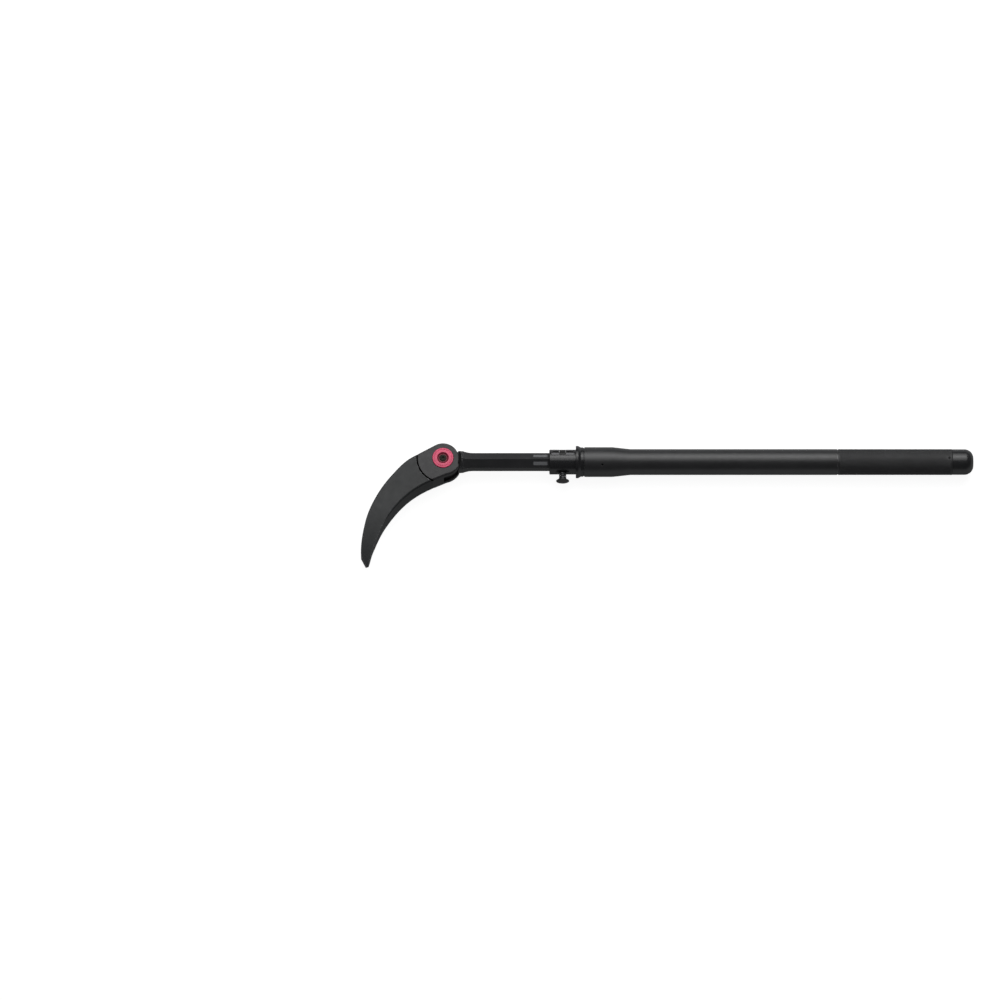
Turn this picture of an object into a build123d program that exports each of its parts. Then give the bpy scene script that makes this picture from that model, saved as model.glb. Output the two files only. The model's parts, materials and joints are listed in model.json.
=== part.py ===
"""Extendable indexing pry bar: a curved claw on an indexing hinge, a notched hexagonal bar
that telescopes in a steel tube, a sprung length lock and a knurled grip.  Millimetres.

Frame: the tool lies flat.  X runs along the tube, with the grip at +X and the claw at -X.
Z is up and is the axis of the indexing hinge.  The claw and the lock knob point to -Y.
The origin is on the tube's axis, at the middle of its plain length."""
import os
from math import cos, radians, sin, sqrt

from build123d import *

os.makedirs("parts", exist_ok=True)

# --- Driving dimensions: outer tube and grip -------------------------------------------------
tube_od = 31.0            # plain tube, the size that a clip or clamp holds
tube_wall = 3.0
plain_length = 248.0      # plain tube between the bell's taper and the grip
bell_wall = 3.0
bell_step = 0.25          # bell's radius over the housing's shoulder
bell_length = 33.6
taper_length = 21.6
grip_wall = 1.5           # knurled sleeve pressed over the turned-down end of the tube
grip_length = 136.6
grip_gap = 1.4            # witness groove between the plain tube and the grip
grip_gap_depth = 0.6
cap_length = 25.5
cap_step = 0.2            # cap's radius below the tube's
cap_corner = 10.5
cap_plug_length = 7.0
cap_pin_r = 1.5
cap_pin_inset = 3.9       # from the end of the grip to the pin
grip_step = 0.1           # grip's radius over the tube's
pin_depth = 0.15          # pin's end below the grip's surface
pin_chamfer = 0.3         # cap pin, lock stem and button screw
rim_chamfer = 0.5         # tube and grip ends

# --- Driving dimensions: sliding bar ---------------------------------------------------------
bar_af = 19.05            # hexagon across flats, corners up and down
notch_pitch = 15.0
notch_count = 27
notch_width = 4.5
notch_depth = 2.9         # below the upper corner
bar_clearance = 0.15      # each side, in the housing's hexagonal bore
guide_length = 11.0
guide_clearance = 0.2     # radial, in the tube
guide_spigot_r = 6.0
guide_chamfer = 0.6
guide_screw_r = 7.4
guide_screw_height = 2.2
guide_screw_round = 1.2
guide_screw_length = 17.0
guide_screw_hole = 19.0
guide_socket_af = 4.0
guide_socket_depth = 1.3
stop_gap = 0.5            # left between guide and housing at full length

# --- Driving dimensions: lock housing and length lock ----------------------------------------
collar_od = 29.8
collar_length = 31.8
flange_od = 38.8
flange_length = 3.2
shoulder_od = 35.2
shoulder_length = 7.0
shoulder_groove = 0.8     # witness groove before the bell, as long as it is deep
flange_chamfer = 0.4
flange_taper = 2.6        # cone from the flange down to the shoulder
collar_chamfer = 0.8
spigot_length = 28.4
pivot_to_collar = 127.6   # hinge axis to the collar's front face, tool shortened
gate_width = 7.4          # along the bar
gate_travel = 2.0
gate_clearance = 0.2
gate_wall = 0.7           # housing left outside the gate on the knob's side
gate_inset = 0.1          # gate's back below the collar's surface
gate_half_height = 13.0
gate_bar_gap = 0.3        # gate to bar, all round
recess_angle = 27.0       # from +Z towards +Y, the slotted seat beside the gate
recess_width = 7.0
recess_depth = 1.3
recess_front_land = 2.4
recess_back_land = 1.6
stem_r = 2.5
stem_hole_clearance = 0.1
knob_reach = 24.8         # knob's end face from the tube's axis
knob_od = 15.6
knob_thickness = 3.4
knob_neck_od = 9.0
knob_rim_chamfer = 0.5
knob_cap_thickness = 0.6  # closed end of the knob beyond the stem
lock_spring_od = 9.0
lock_spring_wire = 1.2
spring_seat_depth = 0.5   # spot face in the collar
spring_seat_clearance = 0.4
housing_pin_r = 1.5
housing_pin_inset = 21.6  # from the bell's front face
housing_pin_depth = 0.4   # pin's end below the bell's surface
housing_pin_angle = -30.0 # from +Z towards +Y
housing_pin_length = 5.0

# --- Driving dimensions: hinge and head ------------------------------------------------------
head_thickness = 29.0
eye_r = 18.9              # round end of the head's cheeks
heel_r = 22.0
fork_gap = 15.6
fork_r = 23.0
tongue_r = 20.0
tongue_clearance = 0.5    # each side, in the fork
neck_width = 20.0
bar_shoulder_r = 22.5     # hollow face of the bar's shoulder, about the hinge axis
bar_shoulder_od = 26.8
bar_flare_af = 23.0       # hexagon at the wide end of the flare
bar_flare_length = 12.0
bar_flare_land = 1.4
washer_thickness = 0.4
washer_r = 17.0
washer_bore_r = 11.6
groove_r = 31.0           # shallow line round the hinge boss
groove_width = 2.0
groove_depth = 1.2
claw_round = 2.5          # round along the claw's hollow side and heel
taper_start = -58.0       # along Y, where the claw's flat sides begin to close in
edge_thickness = 10.0     # claw's width at its edge
teeth = 28
gear_tip_r = 10.9
tooth_height = 1.0
tooth_shares = (0.04, 0.30, 0.62, 0.88)   # root, tip, tip, root along one tooth's pitch
gear_cheek_clearance = 0.12
gear_tongue_clearance = 0.3
gear_top_gap = 0.6        # below the upper cheek
gear_reach = 1.0          # into the lower cheek
hub_step = 0.7            # hub's radius below the teeth's roots
hub_clearance = 0.3
button_r = 12.6
button_thickness = 2.5
button_chamfer = 0.5
button_pocket_depth = 5.2
button_pocket_clearance = 0.25
button_travel = 3.4
button_proud = 1.0
button_dish_r = 7.0
button_dish_depth = 0.9
screw_head_r = 4.2
screw_head_height = 1.2
screw_head_sink = 0.3     # of the head's height, above the dish's floor
screw_head_clearance = 0.2
screw_shank_r = 2.0
screw_shank_length = 7.0
socket_af = 2.4
socket_depth = 0.9
index_spring_od = 13.0
index_spring_wire = 1.6
index_spring_seat = -2.0  # closed end of the pocket in the gear
spring_pocket_clearance = 0.5
cover_inset = 2.1         # cover's inner face from the lower cheek's face
cover_thickness = 1.0
cover_r = 12.8
snap_ring_thickness = 0.7
snap_ring_inner_r = 11.2
snap_ring_depth = 0.6     # groove beyond the cover's bore
snap_ring_gap = 5.0       # between the ring's ends

# --- Places that follow ----------------------------------------------------------------------
tube_r = tube_od / 2
tube_bore_r = tube_r - tube_wall
plain_front = -plain_length / 2
plain_back = plain_length / 2
bell_back = plain_front - taper_length
bell_front = bell_back - bell_length
flange_back = bell_front - shoulder_length
flange_front = flange_back - flange_length
collar_front = flange_front - collar_length
pivot_x = collar_front - pivot_to_collar
lock_x = (collar_front + flange_front) / 2
spigot_back = bell_front + spigot_length
shoulder_r = shoulder_od / 2
flange_r = flange_od / 2
bell_r = shoulder_r + bell_step
bell_bore_r = bell_r - bell_wall
grip_front = plain_back + grip_gap
grip_back = grip_front + grip_length
grip_seat_r = tube_r - grip_wall
grip_r = tube_r + grip_step
cap_r = tube_r - cap_step
travel = notch_pitch * (notch_count - 1)
guide_front = spigot_back + travel + stop_gap
guide_back = guide_front + guide_length
guide_r = tube_bore_r - guide_clearance
bar_corner_r = bar_af / sqrt(3)
half_head = head_thickness / 2
half_fork = fork_gap / 2
half_tongue = half_fork - tongue_clearance
gear_top = half_fork - gear_top_gap
gear_bottom = -half_fork - gear_reach
gear_root_r = gear_tip_r - tooth_height
hub_r = gear_root_r - hub_step
collar_r = collar_od / 2
button_top = half_head + button_proud
button_bottom = button_top - button_thickness
button_pocket_floor = half_head - button_pocket_depth
cover_top = cover_inset - half_head
cover_bottom = cover_top - cover_thickness
knob_face = -knob_reach
knob_inner = knob_face + knob_thickness
gate_r = collar_r - gate_wall - gate_clearance
recess_floor = collar_r - recess_depth


def polar(radius, angle):
    """A point about the hinge axis, in the head's own plane."""
    return (radius * cos(radians(angle)), radius * sin(radians(angle)))


def gear_outline(tip_r, root_r):
    """Points of a gear with flat-topped teeth, for the lock gear and what it fits."""
    points = []
    step = 360 / teeth
    for index in range(teeth):
        for share, radius in zip(tooth_shares, (root_r, tip_r, tip_r, root_r)):
            points.append(polar(radius, (index + share) * step))
    return points


def hinge_plane(height):
    """A plane square to the hinge axis, with its origin on that axis."""
    return Plane(origin=(pivot_x, 0, height))


def section_plane(station):
    """A plane square to the bar, whose local x is Y and local y is Z."""
    return Plane(origin=(station, 0, 0), x_dir=(0, 1, 0), z_dir=(1, 0, 0))


def save(part, name):
    part.label = name
    export_step(part, f"parts/{name}.step")


# --- Handle ----------------------------------------------------------------------------------
with BuildPart() as outer_tube:
    with BuildSketch(Plane.XZ):
        with BuildLine():
            Polyline(
                (bell_front, bell_bore_r),
                (bell_front, bell_r - rim_chamfer),
                (bell_front + rim_chamfer, bell_r),
                (bell_back, bell_r),
                (plain_front, tube_r),
                (plain_back - rim_chamfer, tube_r),
                (plain_back, tube_r - rim_chamfer),
                (plain_back, tube_r - grip_gap_depth),
                (grip_front, tube_r - grip_gap_depth),
                (grip_front, grip_seat_r),
                (grip_back, grip_seat_r),
                (grip_back, tube_bore_r),
                (plain_front, tube_bore_r),
                (bell_back, bell_bore_r),
                close=True,
            )
        make_face()
    revolve(axis=Axis.X)
    pin_axis = Plane(
        origin=(grip_back - cap_pin_inset, 0, 0), x_dir=(1, 0, 0), z_dir=(0, 0, 1)
    )
    with BuildSketch(pin_axis):
        Circle(cap_pin_r)
    extrude(amount=tube_r, mode=Mode.SUBTRACT)
    housing_pin_plane = Plane(
        origin=(bell_front + housing_pin_inset, 0, 0),
        x_dir=(1, 0, 0),
        z_dir=(0, sin(radians(housing_pin_angle)), cos(radians(housing_pin_angle))),
    )
    with BuildSketch(housing_pin_plane):
        Circle(housing_pin_r)
    extrude(amount=bell_r + 1, mode=Mode.SUBTRACT)

with BuildPart() as grip_sleeve:
    with BuildSketch(Plane.XZ):
        with BuildLine():
            Polyline(
                (grip_front, grip_seat_r),
                (grip_front, grip_r - rim_chamfer),
                (grip_front + rim_chamfer, grip_r),
                (grip_back - rim_chamfer, grip_r),
                (grip_back, grip_r - rim_chamfer),
                (grip_back, grip_seat_r),
                close=True,
            )
        make_face()
    revolve(axis=Axis.X)
    with BuildSketch(pin_axis):
        Circle(cap_pin_r)
    extrude(amount=tube_r, mode=Mode.SUBTRACT)

with BuildPart() as end_cap:
    with BuildSketch(Plane.XZ):
        with BuildLine():
            Polyline(
                (grip_back - cap_plug_length, 0),
                (grip_back - cap_plug_length, tube_bore_r),
                (grip_back, tube_bore_r),
                (grip_back, cap_r),
                (grip_back + cap_length - cap_corner, cap_r),
            )
            RadiusArc(
                (grip_back + cap_length - cap_corner, cap_r),
                (grip_back + cap_length, cap_r - cap_corner),
                cap_corner,
            )
            Polyline(
                (grip_back + cap_length, cap_r - cap_corner),
                (grip_back + cap_length, 0),
                (grip_back - cap_plug_length, 0),
            )
        make_face()
    revolve(axis=Axis.X)
    with BuildSketch(pin_axis):
        Circle(cap_pin_r)
    extrude(amount=tube_r, mode=Mode.SUBTRACT)

with BuildPart() as cap_pin:
    with BuildSketch(pin_axis):
        Circle(cap_pin_r)
    extrude(amount=grip_r - pin_depth)
    chamfer(cap_pin.faces().sort_by(Axis.Z)[-1].edges(), pin_chamfer)

# --- Lock housing ----------------------------------------------------------------------------
with BuildPart() as lock_housing:
    with BuildSketch(Plane.XZ):
        with BuildLine():
            Polyline(
                (collar_front, 0),
                (collar_front, collar_r - collar_chamfer),
                (collar_front + collar_chamfer, collar_r),
                (flange_front, collar_r),
                (flange_front, flange_r - flange_chamfer),
                (flange_front + flange_chamfer, flange_r),
                (flange_back - flange_chamfer, flange_r),
                (flange_back + flange_taper, shoulder_r),
                (bell_front - 1.5 * shoulder_groove, shoulder_r),
                (bell_front - shoulder_groove, shoulder_r - shoulder_groove),
                (bell_front, shoulder_r - shoulder_groove),
                (bell_front, bell_bore_r),
                (spigot_back, bell_bore_r),
                (spigot_back, 0),
                close=True,
            )
        make_face()
    revolve(axis=Axis.X)
    # Hexagonal bore for the bar
    with BuildSketch(section_plane(collar_front)):
        RegularPolygon(bar_af / 2 + bar_clearance, 6, major_radius=False, rotation=30)
    extrude(amount=spigot_back - collar_front, mode=Mode.SUBTRACT)
    # Slot that the gate slides in, open to +Y
    slot_front = lock_x - gate_width / 2 - gate_clearance
    with BuildSketch(section_plane(slot_front)):
        Circle(gate_r + gate_clearance)
        with Locations((collar_r, 0)):
            Rectangle(2 * collar_r, 2 * gate_half_height + 4)
        slot_half = gate_half_height + gate_clearance
        Rectangle(6 * collar_r, 2 * slot_half, mode=Mode.INTERSECT)
    extrude(amount=gate_width + 2 * gate_clearance, mode=Mode.SUBTRACT)
    # Shallow seat with a round end, along the collar beside its highest line
    recess_plane = Plane(
        origin=(0, 0, 0),
        x_dir=(1, 0, 0),
        z_dir=(0, sin(radians(recess_angle)), cos(radians(recess_angle))),
    ).offset(recess_floor)
    recess_length = collar_length - recess_front_land - recess_back_land
    with BuildSketch(recess_plane):
        with Locations((collar_front + recess_front_land + recess_length / 2, 0)):
            SlotOverall(recess_length, recess_width)
    extrude(amount=collar_r, mode=Mode.SUBTRACT)
    # Stem hole, with a spot face for the spring
    stem_plane = Plane(origin=(lock_x, 0, 0), x_dir=(1, 0, 0), z_dir=(0, -1, 0))
    with BuildSketch(stem_plane):
        Circle(stem_r + stem_hole_clearance)
    extrude(amount=collar_r + 1, mode=Mode.SUBTRACT)
    with BuildSketch(stem_plane.offset(collar_r - spring_seat_depth)):
        Circle(lock_spring_od / 2 + spring_seat_clearance)
    extrude(amount=2, mode=Mode.SUBTRACT)
    # Pin through the bell
    with BuildSketch(housing_pin_plane):
        Circle(housing_pin_r)
    extrude(amount=bell_r + 1, mode=Mode.SUBTRACT)

with BuildPart() as housing_pin:
    with BuildSketch(housing_pin_plane.offset(bell_r - housing_pin_depth - housing_pin_length)):
        Circle(housing_pin_r)
    extrude(amount=housing_pin_length)

# --- Length lock -----------------------------------------------------------------------------
bar_gap_af = bar_af / 2 + gate_bar_gap
with BuildPart() as lock_gate:
    with BuildSketch(section_plane(lock_x - gate_width / 2)):
        Circle(collar_r - gate_inset)
        with Locations((collar_r, 0)):
            Rectangle(2 * collar_r, 2 * collar_r, mode=Mode.INTERSECT)
        Circle(gate_r)
        Rectangle(4 * collar_r, 2 * gate_half_height, mode=Mode.INTERSECT)
        # Window: the bar's hexagon at both ends of the gate's stroke, and all between
        RegularPolygon(bar_gap_af, 6, major_radius=False, rotation=30, mode=Mode.SUBTRACT)
        with Locations((-gate_travel, 0)):
            RegularPolygon(bar_gap_af, 6, major_radius=False, rotation=30, mode=Mode.SUBTRACT)
        with Locations((-gate_travel / 2, 0)):
            Rectangle(gate_travel, 4 * bar_gap_af / sqrt(3), mode=Mode.SUBTRACT)
    extrude(amount=gate_width)
    with BuildSketch(stem_plane):
        Circle(stem_r)
    extrude(amount=collar_r + 1, mode=Mode.SUBTRACT)

stem_inner = bar_af / 2 + gate_bar_gap + gate_travel
stem_end = knob_reach - knob_cap_thickness
with BuildPart() as lock_stem:
    with BuildSketch(stem_plane.offset(stem_inner)):
        Circle(stem_r)
    extrude(amount=stem_end - stem_inner)
    chamfer(lock_stem.faces().sort_by(Axis.Y)[0].edges(), pin_chamfer)

with BuildPart() as lock_knob:
    with BuildSketch(Plane(origin=(lock_x, 0, 0), x_dir=(1, 0, 0), z_dir=(0, 0, 1))):
        with BuildLine():
            Polyline(
                (stem_r, knob_inner),
                (knob_neck_od / 2, knob_inner),
                (knob_od / 2, knob_face + 2 * knob_rim_chamfer),
                (knob_od / 2, knob_face + knob_rim_chamfer),
                (knob_od / 2 - knob_rim_chamfer, knob_face),
                (stem_r, knob_face),
                close=True,
            )
        make_face()
    revolve(axis=Axis(origin=(lock_x, 0, 0), direction=(0, 1, 0)))

lock_spring_seat = collar_r - spring_seat_depth
with BuildPart() as lock_spring:
    with BuildSketch(stem_plane.offset(lock_spring_seat)):
        Circle(lock_spring_od / 2)
        Circle(lock_spring_od / 2 - lock_spring_wire, mode=Mode.SUBTRACT)
    extrude(amount=-knob_inner - lock_spring_seat)

# --- Sliding bar -----------------------------------------------------------------------------
flare_front = pivot_x + sqrt(bar_shoulder_r**2 - (bar_shoulder_od / 2) ** 2)
flare_wide = pivot_x + bar_shoulder_r + bar_flare_land
flare_back = flare_wide + bar_flare_length
tongue_tip_r = gear_tip_r + tooth_height + gear_tongue_clearance
with BuildPart() as hex_bar:
    with BuildSketch(section_plane(flare_front)):
        RegularPolygon(bar_af / 2, 6, major_radius=False, rotation=30)
    extrude(amount=guide_front - flare_front)
    with BuildSketch(section_plane(flare_front)):
        Circle(bar_shoulder_od / 2)
    extrude(amount=flare_wide - flare_front)
    with BuildSketch(section_plane(flare_wide)):
        RegularPolygon(bar_flare_af / 2, 6, major_radius=False, rotation=30)
    with BuildSketch(section_plane(flare_back)):
        RegularPolygon(bar_af / 2, 6, major_radius=False, rotation=30)
    loft()
    with BuildSketch(hinge_plane(-bar_shoulder_od)):
        Circle(bar_shoulder_r)
    extrude(amount=2 * bar_shoulder_od, mode=Mode.SUBTRACT)
    with BuildSketch(hinge_plane(-half_tongue)):
        Circle(tongue_r)
        with Locations((bar_shoulder_r / 2 + 1, 0)):
            Rectangle(bar_shoulder_r + 2, neck_width)
    extrude(amount=2 * half_tongue)
    with BuildSketch(hinge_plane(-half_tongue)):
        Circle(tongue_tip_r)
    extrude(amount=half_tongue + gear_top - button_travel, mode=Mode.SUBTRACT)
    with BuildSketch(hinge_plane(0)):
        with BuildLine():
            tongue_points = gear_outline(tongue_tip_r, tongue_tip_r - tooth_height)
            Polyline(*tongue_points, close=True)
        make_face()
    extrude(amount=2 * half_tongue, mode=Mode.SUBTRACT)
    # Notches across the upper corner
    with BuildSketch(Plane.XY.offset(bar_corner_r - notch_depth)):
        for index in range(notch_count):
            with Locations((lock_x + index * notch_pitch, 0)):
                Rectangle(notch_width, bar_af)
    extrude(amount=notch_depth + 1, mode=Mode.SUBTRACT)
    with BuildSketch(section_plane(guide_front)):
        Circle(guide_spigot_r)
    extrude(amount=guide_length)
    with BuildSketch(section_plane(guide_back)):
        Circle(screw_shank_r)
    extrude(amount=-guide_screw_hole, mode=Mode.SUBTRACT)

with BuildPart() as rear_guide:
    with BuildSketch(section_plane(guide_front)):
        Circle(guide_r)
        Circle(guide_spigot_r, mode=Mode.SUBTRACT)
    extrude(amount=guide_length)
    chamfer(rear_guide.faces().filter_by(Plane.YZ).edges().group_by(SortBy.RADIUS)[-1], guide_chamfer)

with BuildPart() as guide_screw:
    with BuildSketch(section_plane(guide_back)):
        Circle(guide_screw_r)
    extrude(amount=guide_screw_height)
    fillet(guide_screw.faces().sort_by(Axis.X)[-1].edges(), guide_screw_round)
    with BuildSketch(section_plane(guide_back)):
        Circle(screw_shank_r)
    extrude(amount=-guide_screw_length)
    with BuildSketch(section_plane(guide_back + guide_screw_height)):
        RegularPolygon(guide_socket_af / 2, 6, major_radius=False)
    extrude(amount=-guide_socket_depth, mode=Mode.SUBTRACT)

# --- Head ------------------------------------------------------------------------------------
back_angle = 119.0        # where the claw's straight back leaves the round end
back_length = 31.0
back_start = polar(eye_r, back_angle)
back_run = polar(back_length, back_angle + 90)
back_end = (back_start[0] + back_run[0], back_start[1] + back_run[1])
edge_back = (-97.7, -121.1)
edge_tip = (-92.0, -133.1)
edge_front = (-88.7, -131.9)
claw_root = (-14.0, -29.6)
heel_start = polar(heel_r, -78.0)
heel_middle = polar(heel_r, -53.0)
heel_end = polar(heel_r, -28.0)
round_start = polar(eye_r, -15.0)
round_middle = polar(eye_r, 52.0)
with BuildPart() as pry_head:
    with BuildSketch(hinge_plane(-half_head)):
        with BuildLine():
            Line(back_start, back_end)
            Spline(
                back_end,
                (-62.0, -22.7),
                (-80.4, -49.8),
                (-92.2, -79.3),
                edge_back,
                tangents=(back_run, (0.04, -1)),
            )
            Line(edge_back, edge_tip)
            Line(edge_tip, edge_front)
            Spline(
                edge_front,
                (-83.2, -111.8),
                (-68.7, -79.7),
                (-43.5, -48.8),
                claw_root,
                tangents=((0.32, 1), (1, 0.47)),
            )
            Line(claw_root, heel_start)
            ThreePointArc(heel_start, heel_middle, heel_end)
            Line(heel_end, round_start)
            ThreePointArc(round_start, round_middle, back_start)
        make_face()
    extrude(amount=head_thickness)
    flat_rims = pry_head.faces().filter_by(Axis.Z).edges()
    long_rims = flat_rims.filter_by(lambda edge: edge.length > back_length * 2)
    fillet(long_rims.group_by(Axis.X)[-1], claw_round)
    # Both flat sides close in on the claw's edge
    for side in (-1, 1):
        with BuildSketch(Plane.YZ.offset(pivot_x - 2 * abs(edge_tip[1]))):
            with BuildLine():
                close_in = TangentArc(
                    (taper_start, side * half_head),
                    (edge_tip[1], side * edge_thickness / 2),
                    tangent=(-1, 0),
                )
                Polyline(close_in @ 1, (edge_tip[1], side * half_head), close_in @ 0)
            make_face()
        extrude(amount=2 * abs(edge_tip[1]), mode=Mode.SUBTRACT)
    # Fork for the bar's tongue
    with BuildSketch(hinge_plane(-half_fork)):
        Circle(fork_r)
    extrude(amount=fork_gap, mode=Mode.SUBTRACT)
    # Line round the hinge boss, on both faces
    for low in (-half_head, half_head - groove_depth):
        with BuildSketch(hinge_plane(low)):
            Circle(groove_r + groove_width / 2)
            Circle(groove_r - groove_width / 2, mode=Mode.SUBTRACT)
        extrude(amount=groove_depth, mode=Mode.SUBTRACT)
    # Upper cheek: hub hole and button pocket
    with BuildSketch(hinge_plane(0)):
        Circle(hub_r + hub_clearance)
    extrude(amount=half_head, mode=Mode.SUBTRACT)
    with BuildSketch(hinge_plane(button_pocket_floor)):
        Circle(button_r + button_pocket_clearance)
    extrude(amount=half_head, mode=Mode.SUBTRACT)
    # Lower cheek: toothed bore, cover seat and snap ring groove
    with BuildSketch(hinge_plane(cover_top)):
        with BuildLine():
            cheek_points = gear_outline(
                gear_tip_r + gear_cheek_clearance, gear_root_r + gear_cheek_clearance
            )
            Polyline(*cheek_points, close=True)
        make_face()
    extrude(amount=-cover_top, mode=Mode.SUBTRACT)
    with BuildSketch(hinge_plane(-half_head)):
        Circle(cover_r)
    extrude(amount=half_head + cover_top, mode=Mode.SUBTRACT)
    with BuildSketch(hinge_plane(cover_bottom)):
        Circle(cover_r + snap_ring_depth)
    extrude(amount=-snap_ring_thickness, mode=Mode.SUBTRACT)

with BuildPart() as upper_washer:
    with BuildSketch(hinge_plane(half_fork - washer_thickness)):
        Circle(washer_r)
        Circle(washer_bore_r, mode=Mode.SUBTRACT)
    extrude(amount=washer_thickness)

with BuildPart() as lower_washer:
    with BuildSketch(hinge_plane(-half_fork)):
        Circle(washer_r)
        Circle(washer_bore_r, mode=Mode.SUBTRACT)
    extrude(amount=washer_thickness)

with BuildPart() as back_cover:
    with BuildSketch(hinge_plane(cover_bottom)):
        Circle(cover_r)
    extrude(amount=cover_thickness)

with BuildPart() as snap_ring:
    with BuildSketch(hinge_plane(cover_bottom - snap_ring_thickness)):
        Circle(cover_r + snap_ring_depth)
        Circle(snap_ring_inner_r, mode=Mode.SUBTRACT)
        with Locations((0, -cover_r)):
            Rectangle(snap_ring_gap, cover_r, mode=Mode.SUBTRACT)
    extrude(amount=snap_ring_thickness)

with BuildPart() as index_spring:
    with BuildSketch(hinge_plane(cover_top)):
        Circle(index_spring_od / 2)
        Circle(index_spring_od / 2 - index_spring_wire, mode=Mode.SUBTRACT)
    extrude(amount=index_spring_seat - cover_top)

# --- Index button ----------------------------------------------------------------------------
with BuildPart() as lock_gear:
    with BuildSketch(hinge_plane(gear_bottom)):
        with BuildLine():
            gear_points = gear_outline(gear_tip_r, gear_root_r)
            Polyline(*gear_points, close=True)
        make_face()
    extrude(amount=gear_top - gear_bottom)
    with BuildSketch(hinge_plane(gear_top)):
        Circle(hub_r)
    extrude(amount=button_bottom - gear_top)
    with BuildSketch(hinge_plane(gear_bottom)):
        Circle(index_spring_od / 2 + spring_pocket_clearance)
    extrude(amount=index_spring_seat - gear_bottom, mode=Mode.SUBTRACT)
    with BuildSketch(hinge_plane(button_bottom)):
        Circle(screw_shank_r)
    extrude(amount=-screw_shank_length - 1, mode=Mode.SUBTRACT)

head_seat = button_top - button_dish_depth - screw_head_height + screw_head_sink
with BuildPart() as button_ring:
    with BuildSketch(Plane(origin=(pivot_x, 0, 0), x_dir=(1, 0, 0), z_dir=(0, -1, 0))):
        with BuildLine():
            Polyline(
                (screw_shank_r, button_bottom),
                (button_r, button_bottom),
                (button_r, button_top - button_chamfer),
                (button_r - button_chamfer, button_top),
                (button_dish_r, button_top),
                (screw_head_r + screw_head_clearance, button_top - button_dish_depth),
                (screw_head_r + screw_head_clearance, head_seat),
                (screw_shank_r, head_seat),
                close=True,
            )
        make_face()
    revolve(axis=Axis(origin=(pivot_x, 0, 0), direction=(0, 0, 1)))

with BuildPart() as button_screw:
    with BuildSketch(hinge_plane(head_seat)):
        Circle(screw_head_r)
    extrude(amount=screw_head_height)
    chamfer(button_screw.faces().sort_by(Axis.Z)[-1].edges(), pin_chamfer)
    with BuildSketch(hinge_plane(head_seat)):
        Circle(screw_shank_r)
    extrude(amount=-(head_seat - button_bottom) - screw_shank_length)
    with BuildSketch(hinge_plane(head_seat + screw_head_height)):
        RegularPolygon(socket_af / 2, 6, major_radius=False)
    extrude(amount=-socket_depth, mode=Mode.SUBTRACT)

# --- Export ----------------------------------------------------------------------------------
save(outer_tube.part, "outer_tube")
save(grip_sleeve.part, "grip_sleeve")
save(end_cap.part, "end_cap")
save(cap_pin.part, "cap_pin")
save(lock_housing.part, "lock_housing")
save(housing_pin.part, "housing_pin")
save(lock_gate.part, "lock_gate")
save(lock_stem.part, "lock_stem")
save(lock_knob.part, "lock_knob")
save(lock_spring.part, "lock_spring")
save(hex_bar.part, "hex_bar")
save(rear_guide.part, "rear_guide")
save(guide_screw.part, "guide_screw")
save(pry_head.part, "pry_head")
save(upper_washer.part, "upper_washer")
save(lower_washer.part, "lower_washer")
save(back_cover.part, "back_cover")
save(snap_ring.part, "snap_ring")
save(index_spring.part, "index_spring")
save(lock_gear.part, "lock_gear")
save(button_ring.part, "button_ring")
save(button_screw.part, "button_screw")
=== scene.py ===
import json
from math import acos, cos, floor, pi, radians, sin, sqrt

import bmesh
import bpy
from mathutils import Matrix, Vector


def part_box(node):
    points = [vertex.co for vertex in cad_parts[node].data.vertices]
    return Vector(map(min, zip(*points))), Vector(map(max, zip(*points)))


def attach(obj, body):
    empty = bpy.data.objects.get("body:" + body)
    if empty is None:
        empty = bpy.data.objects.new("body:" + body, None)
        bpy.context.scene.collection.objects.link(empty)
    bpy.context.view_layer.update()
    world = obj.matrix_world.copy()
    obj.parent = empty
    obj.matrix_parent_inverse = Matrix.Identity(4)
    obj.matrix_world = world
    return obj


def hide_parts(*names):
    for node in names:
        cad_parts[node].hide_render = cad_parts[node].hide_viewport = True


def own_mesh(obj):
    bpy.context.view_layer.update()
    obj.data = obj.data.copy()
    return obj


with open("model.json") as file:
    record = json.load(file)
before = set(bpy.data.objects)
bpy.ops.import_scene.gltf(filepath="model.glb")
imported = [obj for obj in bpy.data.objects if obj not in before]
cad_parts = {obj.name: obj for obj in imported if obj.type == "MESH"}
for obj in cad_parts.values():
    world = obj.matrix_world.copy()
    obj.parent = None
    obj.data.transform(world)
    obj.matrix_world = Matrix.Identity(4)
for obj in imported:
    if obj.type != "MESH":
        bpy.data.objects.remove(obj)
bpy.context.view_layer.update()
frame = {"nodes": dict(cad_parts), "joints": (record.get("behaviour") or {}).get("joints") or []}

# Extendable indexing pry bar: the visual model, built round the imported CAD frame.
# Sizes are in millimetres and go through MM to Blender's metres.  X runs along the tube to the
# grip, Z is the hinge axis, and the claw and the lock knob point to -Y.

MM = 0.001


def reach(node):
    """A CAD node's lowest and highest corner, in millimetres."""
    low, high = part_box(node)
    return Vector(low) / MM, Vector(high) / MM


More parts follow.
